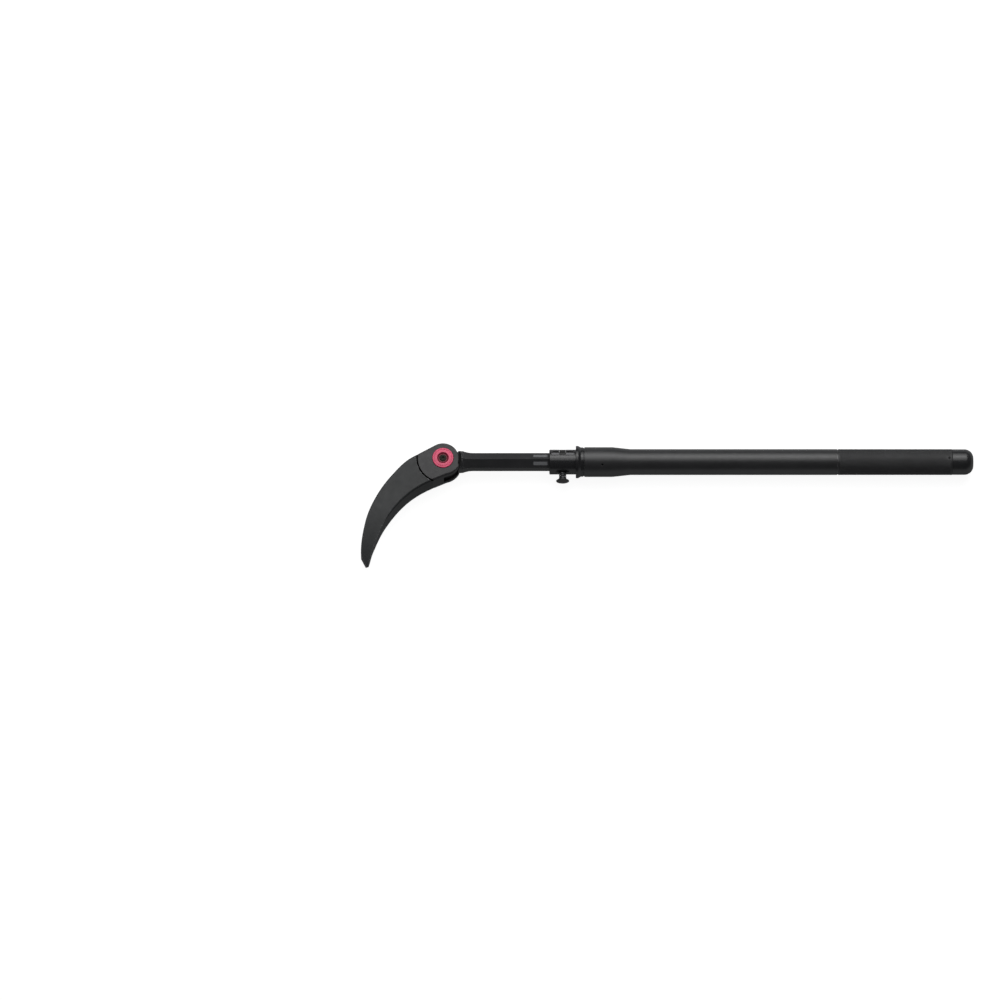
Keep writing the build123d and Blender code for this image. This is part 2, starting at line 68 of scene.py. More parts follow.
# --- Places read from the frame --------------------------------------------------------------
hinge = next(j for j in frame["joints"] if j["name"] == "head_index")
pivot_x = hinge["pos_m"][0] / MM
tube_low, tube_high = reach("outer_tube")
bell_front, grip_back, bell_r = tube_low.x, tube_high.x, tube_high.z
grip_low, grip_high = reach("grip_sleeve")
grip_front, grip_r = grip_low.x, grip_high.z
cap_high = reach("end_cap")[1]
cap_end, cap_r = cap_high.x, cap_high.z
housing_low, housing_high = reach("lock_housing")
collar_front, spigot_back, flange_r = housing_low.x, housing_high.x, housing_high.z
knob_low, knob_high = reach("lock_knob")
lock_x = (knob_low.x + knob_high.x) / 2
spring_low, spring_high = reach("lock_spring")
half_head = reach("pry_head")[1].z
ring_low, ring_high = reach("button_ring")
screw_low, screw_high = reach("button_screw")
guide_front = reach("rear_guide")[0].x
index_low, index_high = reach("index_spring")
cover_low, cover_high = reach("back_cover")

# --- Sizes that the frame's boxes don't give -------------------------------------------------
tube_r = 15.5
tube_wall = 3.0
grip_gap_depth = 0.6
plain_half = 124.0
taper_length = 21.6
shoulder_r = 17.6
shoulder_length = 7.0
flange_length = 3.2
collar_r = 14.9
bar_af = 19.05
bar_corner_r = bar_af / sqrt(3)
notch_pitch = 15.0
notch_count = 27
notch_width = 4.5
notch_depth = 2.9
bar_clearance = 0.15
housing_pin_x = bell_front + 21.6
housing_pin_angle = -30.0
cap_pin_x = grip_back - 3.9
pin_r = 1.5               # both pins
gate_width = 7.8
gate_slot_half = 13.2
gate_slot_r = 14.2
recess_angle = 27.0
recess_width = 7.0
recess_floor = 13.6
eye_r = 18.9
heel_r = 22.0
fork_half = 7.8
fork_r = 23.0
tongue_r = 20.0
tongue_half = 7.3
neck_width = 20.0
bar_shoulder_r = 22.5
bar_shoulder_od = 26.6    # a little under the part, to clear the claw when it is folded
bar_flare_land = 1.4
bar_flare_af = 23.0
bar_flare_length = 12.0
boss_line_r = 31.0
boss_line_width = 2.0
boss_line_depth = 1.2
taper_start = -58.0
edge_thickness = 10.0
hub_hole_r = 9.5
button_pocket_r = 12.85
button_pocket_floor = 9.3
tongue_bore_r = 11.9
cover_seat_r = 12.8
snap_groove_r = 13.4
snap_groove_width = 0.7
lower_bore_r = 11.05      # for the gear, in the lower cheek

flange_front = bell_front - shoulder_length - flange_length
flange_back = bell_front - shoulder_length
bell_back = -plain_half - taper_length


# --- Mesh helpers ----------------------------------------------------------------------------
def link(name, mesh, sharp=32):
    """An object from a mesh in millimetres, smooth except at its sharp edges."""
    mesh.transform(Matrix.Scale(MM, 4))
    piece = bpy.data.objects.new(name, mesh)
    bpy.context.scene.collection.objects.link(piece)
    smooth(piece, sharp)
    return piece


def smooth(piece, sharp=32):
    mesh = piece.data
    mesh.polygons.foreach_set("use_smooth", [True] * len(mesh.polygons))
    mesh.set_sharp_from_angle(angle=radians(sharp))
    mesh.update()


def from_bmesh(name, bm, sharp=32):
    bmesh.ops.remove_doubles(bm, verts=bm.verts, dist=1e-4)
    bmesh.ops.recalc_face_normals(bm, faces=bm.faces)
    mesh = bpy.data.meshes.new(name)
    bm.to_mesh(mesh)
    bm.free()
    return link(name, mesh, sharp)


def rounded(points, steps=4):
    """An outline from (x, y, radius) corners, with each corner that has a radius made round."""
    line = []
    count = len(points)
    for index, (x, y, radius) in enumerate(points):
        here = Vector((x, y))
        if not radius:
            line.append(here)
            continue
        before = Vector(points[index - 1][:2]) - here
        after = Vector(points[(index + 1) % count][:2]) - here
        angle = before.angle(after)
        reach_back = radius / abs(sin(angle / 2)) * cos(angle / 2)
        cut = min(reach_back, 0.49 * before.length, 0.49 * after.length)
        first = here + before.normalized() * cut
        last = here + after.normalized() * cut
        for step in range(steps + 1):
            t = step / steps
            line.append(first * (1 - t) ** 2 + here * 2 * t * (1 - t) + last * t**2)
    return line


def spin(line, axis, segments):
    """A solid turned from a closed list of (along, radius) points."""
    bm = bmesh.new()
    rings = []
    for along, radius in line:
        if radius < 1e-6:
            rings.append([bm.verts.new(spot(axis, along, 0, 0))] * segments)
            continue
        ring = []
        for index in range(segments):
            turn = 2 * pi * index / segments
            ring.append(bm.verts.new(spot(axis, along, radius * cos(turn), radius * sin(turn))))
        rings.append(ring)
    for index, ring in enumerate(rings):
        following = rings[(index + 1) % len(rings)]
        for a in range(segments):
            b = (a + 1) % segments
            corners = list(dict.fromkeys([ring[a], ring[b], following[b], following[a]]))
            if len(corners) > 2:
                bm.faces.new(corners)
    bmesh.ops.recalc_face_normals(bm, faces=bm.faces)
    return bm


def turned(name, outline, centre=(0, 0, 0), axis="X", segments=128, sharp=32):
    """A body of revolution.  The outline is a closed list of (along, radius, rounding) corners."""
    bm = spin(rounded(outline), axis, segments)
    bmesh.ops.translate(bm, verts=bm.verts, vec=Vector(centre))
    return from_bmesh(name, bm, sharp)


def spot(axis, along, a, b):
    """A point from its place along an axis and its two places across it."""
    return {"X": (along, a, b), "Y": (a, along, b), "Z": (a, b, along)}[axis]


def prism(outline, low, high):
    """A scratch solid: a polygon in X and Y, raised from low to high.  Used to cut or join."""
    bm = bmesh.new()
    bottom = [bm.verts.new((x, y, low)) for x, y in outline]
    top = [bm.verts.new((x, y, high)) for x, y in outline]
    bm.faces.new(bottom[::-1])
    bm.faces.new(top)
    for index in range(len(outline)):
        after = (index + 1) % len(outline)
        bm.faces.new((bottom[index], bottom[after], top[after], top[index]))
    bmesh.ops.recalc_face_normals(bm, faces=bm.faces)
    return bm


def circle(radius, count=96, centre=(0, 0)):
    return [
        (centre[0] + radius * cos(2 * pi * i / count), centre[1] + radius * sin(2 * pi * i / count))
        for i in range(count)
    ]


def hexagon(across_flats, turn=0.0):
    radius = across_flats / sqrt(3)
    turns = [radians(turn + 60 * i) for i in range(6)]
    return [(radius * cos(t), radius * sin(t)) for t in turns]


def rod(radius, low, high, count=64):
    return prism(circle(radius, count), low, high)


def place(bm, matrix):
    bmesh.ops.transform(bm, verts=bm.verts, matrix=matrix)
    return bm


def facing(direction, origin=(0, 0, 0)):
    """A matrix that turns local Z to a direction and moves it to an origin."""
    turn = Vector(direction).to_track_quat("Z", "X").to_matrix().to_4x4()
    return Matrix.Translation(origin) @ turn


def along_x(station):
    """Local X is Y, local Y is Z and local Z is the tool's X."""
    return Matrix(((0, 0, 1, station), (1, 0, 0, 0), (0, 1, 0, 0), (0, 0, 0, 1)))


def about_hinge():
    return Matrix.Translation((pivot_x, 0, 0))


def scratch(bm):
    mesh = bpy.data.meshes.new("scratch")
    bm.to_mesh(mesh)
    bm.free()
    mesh.transform(Matrix.Scale(MM, 4))
    piece = bpy.data.objects.new("scratch", mesh)
    bpy.context.scene.collection.objects.link(piece)
    return piece


def combine(piece, operation, *tools):
    """Cuts scratch solids out of a piece, or joins them to it."""
    for tool in tools:
        cutter = scratch(tool)
        modifier = piece.modifiers.new("combine", "BOOLEAN")
        modifier.operation = operation
        modifier.solver = "EXACT"
        modifier.object = cutter
        apply_modifiers(piece)
        bpy.data.objects.remove(cutter)
    return piece


def apply_modifiers(piece):
    graph = bpy.context.evaluated_depsgraph_get()
    graph.update()
    mesh = bpy.data.meshes.new_from_object(piece.evaluated_get(graph))
    old = piece.data
    piece.modifiers.clear()
    piece.data = mesh
    bpy.data.meshes.remove(old)


def soften(piece, width, segments=2, angle=30, sharp=40):
    """Rounds a piece's sharp edges with real geometry."""
    bm = bmesh.new()
    bm.from_mesh(piece.data)
    bmesh.ops.dissolve_limit(
        bm, angle_limit=radians(0.5), verts=bm.verts, edges=bm.edges, delimit={"NORMAL"}
    )
    bm.to_mesh(piece.data)
    bm.free()
    modifier = piece.modifiers.new("soften", "BEVEL")
    modifier.width = width * MM
    modifier.segments = segments
    modifier.limit_method = "ANGLE"
    modifier.angle_limit = radians(angle)
    modifier.use_clamp_overlap = True
    apply_modifiers(piece)
    smooth(piece, sharp)
    even = piece.modifiers.new("even", "WEIGHTED_NORMAL")
    even.keep_sharp = True
    even.weight = 80
    apply_modifiers(piece)
    return piece


# --- Materials -------------------------------------------------------------------------------
def socket(source, name=None):
    return source.outputs[name] if name else source.outputs[0]


def new_node(tree, kind, inputs=None, **settings):
    """A shader node with its settings and inputs.  An input that is an output socket is linked."""
    made = tree.nodes.new(kind)
    for key, value in settings.items():
        setattr(made, key, value)
    for key, value in (inputs or {}).items():
        if isinstance(value, bpy.types.NodeSocket):
            tree.links.new(value, made.inputs[key])
        else:
            made.inputs[key].default_value = value
    return made


def material(name):
    made = bpy.data.materials.new(name)
    made.use_nodes = True
    made.node_tree.nodes.clear()
    return made, made.node_tree


def noise(tree, where, size, detail=3.0, roughness=0.55):
    """Noise whose largest features are about `size` millimetres across."""
    return socket(
        new_node(
            tree,
            "ShaderNodeTexNoise",
            {"Vector": where, "Scale": 1 / (size * MM), "Detail": detail, "Roughness": roughness},
        ),
        "Fac",
    )


def remap(tree, value, low, high, to_low=0.0, to_high=1.0):
    return socket(
        new_node(
            tree,
            "ShaderNodeMapRange",
            {
                "Value": value, "From Min": low, "From Max": high,
                "To Min": to_low, "To Max": to_high,
            },
        )
    )


def maths(tree, operation, a, b=0.0, clamp=False):
    made = new_node(tree, "ShaderNodeMath", operation=operation, use_clamp=clamp)
    for index, value in enumerate((a, b)):
        if isinstance(value, bpy.types.NodeSocket):
            tree.links.new(value, made.inputs[index])
        else:
            made.inputs[index].default_value = value
    return socket(made)


def mix(tree, share, a, b):
    made = new_node(tree, "ShaderNodeMix", data_type="RGBA")
    for name, value in (("Factor", share), ("A", a), ("B", b)):
        kind = "VALUE" if name == "Factor" else "RGBA"
        wanted = [s for s in made.inputs if s.name == name and s.type == kind]
        if isinstance(value, bpy.types.NodeSocket):
            tree.links.new(value, wanted[0])
        else:
            wanted[0].default_value = value
    return next(s for s in made.outputs if s.type == "RGBA")


def object_coordinates(tree, stretch=(1.0, 1.0, 1.0)):
    coordinates = new_node(tree, "ShaderNodeTexCoord")
    mapping = new_node(
        tree, "ShaderNodeMapping", {"Vector": socket(coordinates, "Object"), "Scale": stretch}
    )
    return socket(mapping)


def edge_mask(tree, radius):
    """One on edges that hands and other tools rub, nothing on faces."""
    softened = new_node(tree, "ShaderNodeBevel", {"Radius": radius * MM}, samples=6)
    plain = new_node(tree, "ShaderNodeNewGeometry")
    made = new_node(tree, "ShaderNodeVectorMath", operation="DOT_PRODUCT")
    tree.links.new(socket(softened), made.inputs[0])
    tree.links.new(socket(plain, "Normal"), made.inputs[1])
    return remap(tree, made.outputs["Value"], 0.995, 0.86)


# How each direction of grain draws the noise out along the surface
grain_stretch = {
    "X": (0.02, 1, 1),
    "Z": (1, 1, 0.02),
    "XY": (0.02, 0.02, 1),
    "ring": (1, 0.02, 0.02),
}


def metal(
    name,
    colour,
    roughness,
    spread=0.06,
    metallic=0.0,
    specular=0.5,
    grain=None,
    grain_size=0.5,
    grain_depth=0.01,
    speckle=0.35,
    speckle_depth=0.006,
    wear=0.0,
    wear_radius=0.5,
    wear_colour=(0.30, 0.30, 0.31),
    coat=0.0,
    coat_roughness=0.2,
    marks=None,
    crest=None,
    zones=None,
):
    """Coated or bare steel: uneven colour and gloss, a fine grain or speckle, and rubbed edges."""
    made, tree = material(name)
    plain = object_coordinates(tree)
    cloud = noise(tree, plain, 22.0)
    fine = noise(tree, plain, speckle, 2.0)
    deep = tuple(c * 0.80 for c in colour) + (1.0,)
    pale = tuple(c * 1.22 for c in colour) + (1.0,)
    tint = mix(tree, remap(tree, cloud, 0.3, 0.7), deep, pale)
    smears = noise(tree, plain, 7.0, 4.0)
    gloss = remap(tree, smears, 0.25, 0.75, roughness - spread, roughness + spread)
    metal_share = None
    if wear:
        scuffs = remap(tree, noise(tree, plain, 1.6, 4.0, 0.7), 0.42, 0.62)
        share = maths(tree, "MULTIPLY", edge_mask(tree, wear_radius), scuffs, clamp=True)
        share = maths(tree, "MULTIPLY", share, wear, clamp=True)
        tint = mix(tree, share, tint, wear_colour + (1.0,))
        metal_share = remap(tree, share, 0.0, 1.0, metallic, 1.0)
    shine = None
    for zone_mask, zone_colour, zone_shine in zones or ():
        share = zone_mask(tree)
        tint = mix(tree, share, tint, zone_colour + (1.0,))
        shine = remap(tree, share, 0.0, 1.0, shine or specular, zone_shine)
    if crest:
        worn = new_node(tree, "ShaderNodeAttribute", attribute_name="crest")
        peaks = remap(tree, socket(worn, "Fac"), 0.72, 1.0)
        share = maths(tree, "MULTIPLY", peaks, crest, clamp=True)
        tint = mix(tree, share, tint, wear_colour + (1.0,))
    if marks:
        share = marks(tree)
        tint = mix(tree, share, tint, (0.42, 0.43, 0.45, 1.0))
        gloss = maths(tree, "ADD", gloss, maths(tree, "MULTIPLY", share, 0.2))
    height = maths(tree, "MULTIPLY", fine, speckle_depth)
    if grain:
        lines = noise(tree, object_coordinates(tree, grain_stretch[grain]), grain_size, 3.0)
        height = maths(tree, "ADD", height, maths(tree, "MULTIPLY", lines, grain_depth))
        gloss = maths(tree, "ADD", gloss, remap(tree, lines, 0.3, 0.7, -0.03, 0.03))
    bump = new_node(tree, "ShaderNodeBump", {"Strength": 1.0, "Distance": MM, "Height": height})
    shader = new_node(
        tree,
        "ShaderNodeBsdfPrincipled",
        {
            "Base Color": tint,
            "Roughness": gloss,
            "Metallic": metal_share if metal_share else metallic,
            "Specular IOR Level": shine or specular,
            "Coat Weight": coat,
            "Coat Roughness": coat_roughness,
            "Normal": socket(bump),
        },
    )
    out = new_node(tree, "ShaderNodeOutputMaterial")
    tree.links.new(socket(shader), out.inputs["Surface"])
    return made


mark_length = 16.8
mark_width = 4.2


def bar_marks(tree):
    """Two plain hatched panels etched on the bar's two upper faces, with no lettering."""
    coordinates = new_node(tree, "ShaderNodeTexCoord")
    apart = new_node(tree, "ShaderNodeSeparateXYZ", {"Vector": socket(coordinates, "Object")})
    x, y, z = apart.outputs
    centre_x = (collar_front - 10.8) * MM
    off_x = maths(tree, "ABSOLUTE", maths(tree, "SUBTRACT", x, centre_x))
    in_x = maths(tree, "LESS_THAN", off_x, mark_length / 2 * MM)
    # Distance down the face from the bar's upper corner
    down = maths(tree, "MULTIPLY", maths(tree, "ABSOLUTE", y), 2 / sqrt(3))
    off_face = maths(tree, "ABSOLUTE", maths(tree, "SUBTRACT", down, bar_corner_r / 2 * MM))
    in_face = maths(tree, "LESS_THAN", off_face, mark_width / 2 * MM)
    upper = maths(tree, "GREATER_THAN", z, 0.1 * MM)
    hatch = maths(tree, "PINGPONG", x, 0.6 * MM)
    lines = maths(tree, "GREATER_THAN", hatch, 0.18 * MM)
    share = maths(tree, "MULTIPLY", maths(tree, "MULTIPLY", in_x, in_face), upper)
    return maths(tree, "MULTIPLY", maths(tree, "MULTIPLY", share, lines), 0.34)


def from_axis(tree, along="X", centre=(0, 0, 0)):
    """Distance from an axis, in millimetres."""
    coordinates = new_node(tree, "ShaderNodeTexCoord")
    across = {"X": (0, 1, 1), "Z": (1, 1, 0)}[along]
    mapping = new_node(
        tree, "ShaderNodeMapping",
        {
            "Vector": socket(coordinates, "Object"),
            "Location": [-c * a for c, a in zip(centre, across)],
            "Scale": [a / MM for a in across],
        },
    )
    length = new_node(tree, "ShaderNodeVectorMath", {0: socket(mapping)}, operation="LENGTH")
    return length.outputs["Value"]


def on_boss(tree):
    """The turned boss round the hinge, inside its line."""
    return remap(tree, from_axis(tree, "Z", (pivot_x, 0, 0)), boss_line_r + 0.3, boss_line_r - 0.3)


def painted_shade_in_dish(tree):
    """The button's dished middle, painted dark red as shade."""
    return remap(tree, from_axis(tree, "Z", (pivot_x, 0, 0)), 7.15, 6.95)


def painted_shade_in_line(tree):
    """The floor of the line round the boss, painted black as shade."""
    out = from_axis(tree, "Z", (pivot_x, 0, 0))
    off = maths(tree, "ABSOLUTE", maths(tree, "SUBTRACT", out, boss_line_r))
    coordinates = new_node(tree, "ShaderNodeTexCoord")
    apart = new_node(tree, "ShaderNodeSeparateXYZ", {"Vector": socket(coordinates, "Object")})
    height = maths(tree, "ABSOLUTE", apart.outputs["Z"])
    low = remap(tree, height, (half_head - 0.10) * MM, (half_head - 0.35) * MM)
    high = remap(tree, height, (half_head - 2.2) * MM, (half_head - 1.9) * MM)
    near = remap(tree, off, boss_line_width / 2 + 0.15, boss_line_width / 2 + 0.05)
    return maths(tree, "MULTIPLY", maths(tree, "MULTIPLY", low, high), near)


def across_seat(tree):
    """Distance from the seat's middle line, in millimetres, and a mask of what is sunk in it."""
    coordinates = new_node(tree, "ShaderNodeTexCoord")
    apart = new_node(tree, "ShaderNodeSeparateXYZ", {"Vector": socket(coordinates, "Object")})
    lean = radians(recess_angle)
    y = maths(tree, "MULTIPLY", apart.outputs["Y"], cos(lean) / MM)
    z = maths(tree, "MULTIPLY", apart.outputs["Z"], sin(lean) / MM)
    sunk = remap(tree, from_axis(tree, "X"), collar_r - 0.12, collar_r - 0.30)
    return maths(tree, "ABSOLUTE", maths(tree, "SUBTRACT", y, z)), sunk


def painted_highlight_in_seat(tree):
    """The middle of the milled seat in the collar, with a painted highlight."""
    off, sunk = across_seat(tree)
    return maths(tree, "MULTIPLY", remap(tree, off, 2.1, 1.7), sunk)


def painted_shadow_beside_seat(tree):
    """The seat's own edges, with a painted shadow coloured black."""
    off, sunk = across_seat(tree)
    return maths(tree, "MULTIPLY", remap(tree, off, 2.0, 2.3), sunk)


def painted_shade_in_joint(tree):
    """The bar's end inside the hinge, painted black as shade."""
    out = from_axis(tree, "Z", (pivot_x, 0, 0))
    return remap(tree, out, bar_shoulder_r + 0.15, bar_shoulder_r - 0.15)


TUBE_BLACK = metal(
    "tube_black", (0.0125, 0.0125, 0.0135), 0.40, 0.03, specular=0.5, grain="ring", grain_size=0.35,
    grain_depth=0.0012, speckle=0.30, speckle_depth=0.003, wear=0.8, wear_radius=0.6,
)
KNURL_BLACK = metal(
    "knurl_black", (0.011, 0.011, 0.012), 0.52, 0.05, specular=0.42, speckle=0.25,
    speckle_depth=0.006, crest=0.16, wear_colour=(0.12, 0.12, 0.125),
)
GLOSS_BLACK = metal(
    "gloss_black", (0.008, 0.008, 0.009), 0.34, 0.04, specular=0.40, speckle=0.9,
    speckle_depth=0.003, wear=0.35, wear_radius=0.5, coat=0.12, coat_roughness=0.14,
)
KNOB_BLACK = metal(
    "knob_black", (0.006, 0.006, 0.0065), 0.30, 0.04, specular=0.40, speckle=0.5,
    speckle_depth=0.002, wear=0.6, wear_radius=0.35,
)
SPRING_BLACK = metal(
    "spring_black", (0.110, 0.110, 0.115), 0.28, 0.05, metallic=0.9, speckle=0.2,
    speckle_depth=0.002,
)
HOUSING_BLACK = metal(
    "housing_black", (0.0095, 0.0095, 0.0105), 0.25, 0.02, specular=0.40, grain="ring",
    grain_size=0.25, grain_depth=0.0004, speckle=0.3,
    speckle_depth=0.0004, wear=0.8, wear_radius=0.45,
    # painted highlight: the seat's middle is coloured light grey
    # painted shadow: the seat's edges are coloured black
    zones=((painted_highlight_in_seat, (0.125, 0.125, 0.13), 0.6), (painted_shadow_beside_seat, (0.002, 0.002, 0.002), 0.1)),
)
FORGED_BLACK = metal(
    "forged_black", (0.0100, 0.0112, 0.0118), 0.48, 0.05, specular=0.30, speckle=0.7,
    speckle_depth=0.022, wear=0.75, wear_radius=0.7,
    zones=(
        (on_boss, (0.0150, 0.0145, 0.0158), 0.36),
        # painted shade: the floor of the boss line is coloured black
        (painted_shade_in_line, (0.001, 0.001, 0.001), 0.02),
    ),
)
BAR_BLACK = metal(
    "bar_black", (0.012, 0.012, 0.013), 0.36, 0.04, specular=0.5, grain="X", grain_size=0.30,
    grain_depth=0.004, speckle=0.35, speckle_depth=0.003, wear=0.9, wear_radius=0.4,
    marks=bar_marks,
    # painted shade: the bar's end inside the hinge is coloured black
    zones=((painted_shade_in_joint, (0.0015, 0.0015, 0.0015), 0.05),),
)
DARK_STEEL = metal(
    "dark_steel", (0.10, 0.10, 0.105), 0.36, 0.05, metallic=0.9, grain="Z", grain_size=0.2,
    grain_depth=0.004, wear=0.5, wear_radius=0.3,
)
WIRE_STEEL = metal(
    "wire_steel", (0.34, 0.34, 0.35), 0.30, 0.05, metallic=1.0, speckle=0.2, speckle_depth=0.002,
)
SCREW_STEEL = metal(
    "screw_steel", (0.014, 0.010, 0.006), 0.45, 0.05, specular=0.10, grain="XY", grain_size=0.15,
    grain_depth=0.003, wear=0.35, wear_radius=0.25,
)
OXIDE_BLACK = metal(
    "oxide_black", (0.006, 0.006, 0.006), 0.42, 0.05, specular=0.22, grain="Z", grain_size=0.2,
    grain_depth=0.002, wear=0.6, wear_radius=0.3,
)
PIN_BLACK = metal(
    "pin_black", (0.004, 0.004, 0.004), 0.5, 0.05, specular=0.12, speckle=0.25, speckle_depth=0.004,
    wear=0.3, wear_radius=0.2,
)
NYLON_BLACK = metal(
    "nylon_black", (0.014, 0.014, 0.014), 0.55, 0.05, speckle=0.5, speckle_depth=0.006,
)
RED_ENAMEL = metal(
    "red_enamel", (0.60, 0.030, 0.110), 0.40, 0.04, specular=0.5, speckle=0.5, speckle_depth=0.004,
    wear=0.25, wear_radius=0.3, wear_colour=(0.62, 0.35, 0.38),
    # painted shade: the button's dish is coloured dark red
    zones=((painted_shade_in_dish, (0.13, 0.004, 0.016), 0.3),),
)


def finish_piece(piece, look, body, slot_name, *nodes):
    """Gives a piece its material and its body, and hides the CAD nodes it stands for; its slot name
    is not used.
    """
    piece.data.materials.clear()
    piece.data.materials.append(look)
    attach(piece, body)
    if nodes:
        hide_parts(*nodes)
    return piece


def dress(node, look, bevel=None):
    """Keeps a CAD node's own mesh, with a better material and, if wanted, softer edges."""
    piece = frame["nodes"][node]
    for index in range(max(1, len(piece.material_slots))):
        if not piece.material_slots:
            break
        piece.material_slots[index].material = look
    if bevel:
        modifier = piece.modifiers.new("soften", "BEVEL")
        modifier.width = bevel * MM
        modifier.segments = 2
        modifier.limit_method = "ANGLE"
        modifier.angle_limit = radians(35)
    return piece


# --- Camera ----------------------------------------------------------------------------------
view_tilt = 20.0          # from straight down, towards -Y
view_width = 1200.0       # what the picture spans at the tool
view_distance = 10000.0
sensor = 36.0
right_of_pivot = 68.4     # from the hinge to the middle of the picture
below_tube = 45.5


def make_camera():
    data = bpy.data.cameras.new("camera")
    data.sensor_width = sensor
    data.lens = sensor * view_distance / view_width
    camera = bpy.data.objects.new("camera", data)
    bpy.context.scene.collection.objects.link(camera)
    back = Vector((0, -sin(radians(view_tilt)), cos(radians(view_tilt))))
    up = Vector((0, cos(radians(view_tilt)), sin(radians(view_tilt))))
    aim = Vector((pivot_x + right_of_pivot, 0, 0)) - up * below_tube
    camera.location = (aim + back * view_distance) * MM
    camera.rotation_euler = (radians(view_tilt), 0, 0)
    data.clip_start = 0.1
    data.clip_end = 100.0
    bpy.context.scene.camera = camera


make_camera()


# --- Handle ----------------------------------------------------------------------------------
def make_tube():
    inner = tube_r - tube_wall
    bell_inner = bell_r - tube_wall
    seat_r = tube_r - 1.5
    tube = turned(
        "outer_tube_shell",
        [
            (bell_front, bell_inner, 0),
            (bell_front, bell_r, 0.7),
            (bell_back, bell_r, 12.0),
            (-plain_half, tube_r, 12.0),
            (plain_half, tube_r, 0.2),
            (plain_half, tube_r - grip_gap_depth, 0),
            (grip_front, tube_r - grip_gap_depth, 0),
            (grip_front, seat_r, 0),
            (grip_back, seat_r, 0),
            (grip_back, inner, 0),
            (-plain_half, inner, 0),
            (bell_back, bell_inner, 0),
        ],
        segments=160,
    )
    lean = radians(housing_pin_angle)
    outward = Vector((0, sin(lean), cos(lean)))
    pin_frame = facing(outward, Vector((housing_pin_x, 0, 0)) + outward * bell_r)
    combine(tube, "DIFFERENCE", place(rod(pin_r + 0.05, -1.3, 3), pin_frame))
    smooth(tube)
    finish_piece(tube, TUBE_BLACK, "handle", "black_steel", "outer_tube")

    pin = turned(
        "housing_pin_shown",
        [(-4.0, 0, 0), (-4.0, pin_r, 0), (-1.1, pin_r, 0.3), (-0.9, 0, 0)],
        segments=40,
    )
    pin.data.transform(Matrix.Scale(1 / MM, 4))
    pin.data.transform(pin_frame @ Matrix.Rotation(-pi / 2, 4, "Y"))
    pin.data.transform(Matrix.Scale(MM, 4))
    finish_piece(pin, PIN_BLACK, "handle", "pin_steel", "housing_pin")


knurl_count = 60          # diamonds round the grip
knurl_length = 2.3        # one diamond along the grip
knurl_depth = 0.42
knurl_samples = 4
knurl_land = 1.4          # smooth band at each end of the grip


def ridge(value):
    """A triangle wave of period one, between nought and one."""
    share = value - floor(value)
    return 1 - abs(2 * share - 1)


def make_grip():
    """A sleeve whose outside is a true diamond knurl, cut by two sets of crossing grooves."""
    first = grip_front + knurl_land
    last = grip_back - knurl_land
    rows = int((last - first) / knurl_length) * knurl_samples
    step = (last - first) / rows
    around = knurl_count * knurl_samples
    profile = [(grip_front, grip_r - 1.4), (grip_front, grip_r - 0.25)]
    profile += [(grip_front + 0.25, grip_r - 0.02), (first - 0.2, grip_r - 0.02)]
    outside = len(profile)
    profile += [(first + row * step, None) for row in range(rows + 1)]
    profile += [(last + 0.2, grip_r - 0.05), (grip_back - 0.5, grip_r - 0.05)]
    profile += [(grip_back, grip_r - 0.5), (grip_back, grip_r - 1.4)]
    bm = bmesh.new()
    crest_layer = bm.verts.layers.float.new("crest")
    rings = []
    for index, (x, radius) in enumerate(profile):
        ring = []
        for column in range(around):
            turn = 2 * pi * column / around
            crest = 0.0
            r = radius
            if radius is None:
                row = index - outside
                a = (row + column) / knurl_samples
                b = (row - column) / knurl_samples
                crest = min(ridge(a), ridge(b))
                fade = min(1.0, row / 2, (rows - row) / 2)
                near_pin = Vector((x - cap_pin_x, grip_r * sin(turn))).length
                if cos(turn) > 0.5 and near_pin < 2.4:
                    crest = 0.0
                r = grip_r - knurl_depth * (1 - crest) * fade - 0.02
            vert = bm.verts.new((x, r * sin(turn), r * cos(turn)))
            vert[crest_layer] = crest
            ring.append(vert)
        rings.append(ring)
    for ring, following in zip(rings, rings[1:]):
        for a in range(around):
            b = (a + 1) % around
            bm.faces.new((ring[a], ring[b], following[b], following[a]))
    for a in range(around):
        b = (a + 1) % around
        bm.faces.new((rings[0][b], rings[0][a], rings[-1][a], rings[-1][b]))
    grip = from_bmesh("knurled_grip", bm, 20)
    finish_piece(grip, KNURL_BLACK, "handle", "knurled_steel", "grip_sleeve")

    pin = turned(
        "cap_pin_shown",
        [
            (grip_r - 6, 0, 0),
            (grip_r - 6, pin_r, 0),
            (grip_r - 0.45, pin_r, 0),
            (grip_r - 0.15, 0.9, 0.3),
            (grip_r - 0.35, 0, 0),
        ],
        centre=(cap_pin_x, 0, 0), axis="Z", segments=40,
    )
    finish_piece(pin, PIN_BLACK, "handle", "pin_steel", "cap_pin")


cap_groove_back = 5.6     # faint turned line, from the cap's end


def make_cap():
    plug_r = tube_r - tube_wall
    line_x = cap_end - cap_groove_back
    corner = 10.5
    outline = [
        (grip_back - 7.0, 0, 0),
        (grip_back - 7.0, plug_r, 0.5),
        (grip_back, plug_r, 0),
        (grip_back, cap_r, 0.6),
    ]
    steps = 14
    for index in range(steps + 1):
        turn = pi / 2 * index / steps
        x = cap_end - corner + corner * sin(turn)
        r = cap_r - corner + corner * cos(turn)
        if abs(x - line_x) < 0.45:
            r -= 0.18
        outline.append((x, r, 0))
    outline += [(cap_end, 0, 0)]
    cap = turned("end_cap_shell", outline, segments=128, sharp=40)
    finish_piece(cap, GLOSS_BLACK, "handle", "gloss_black", "end_cap")


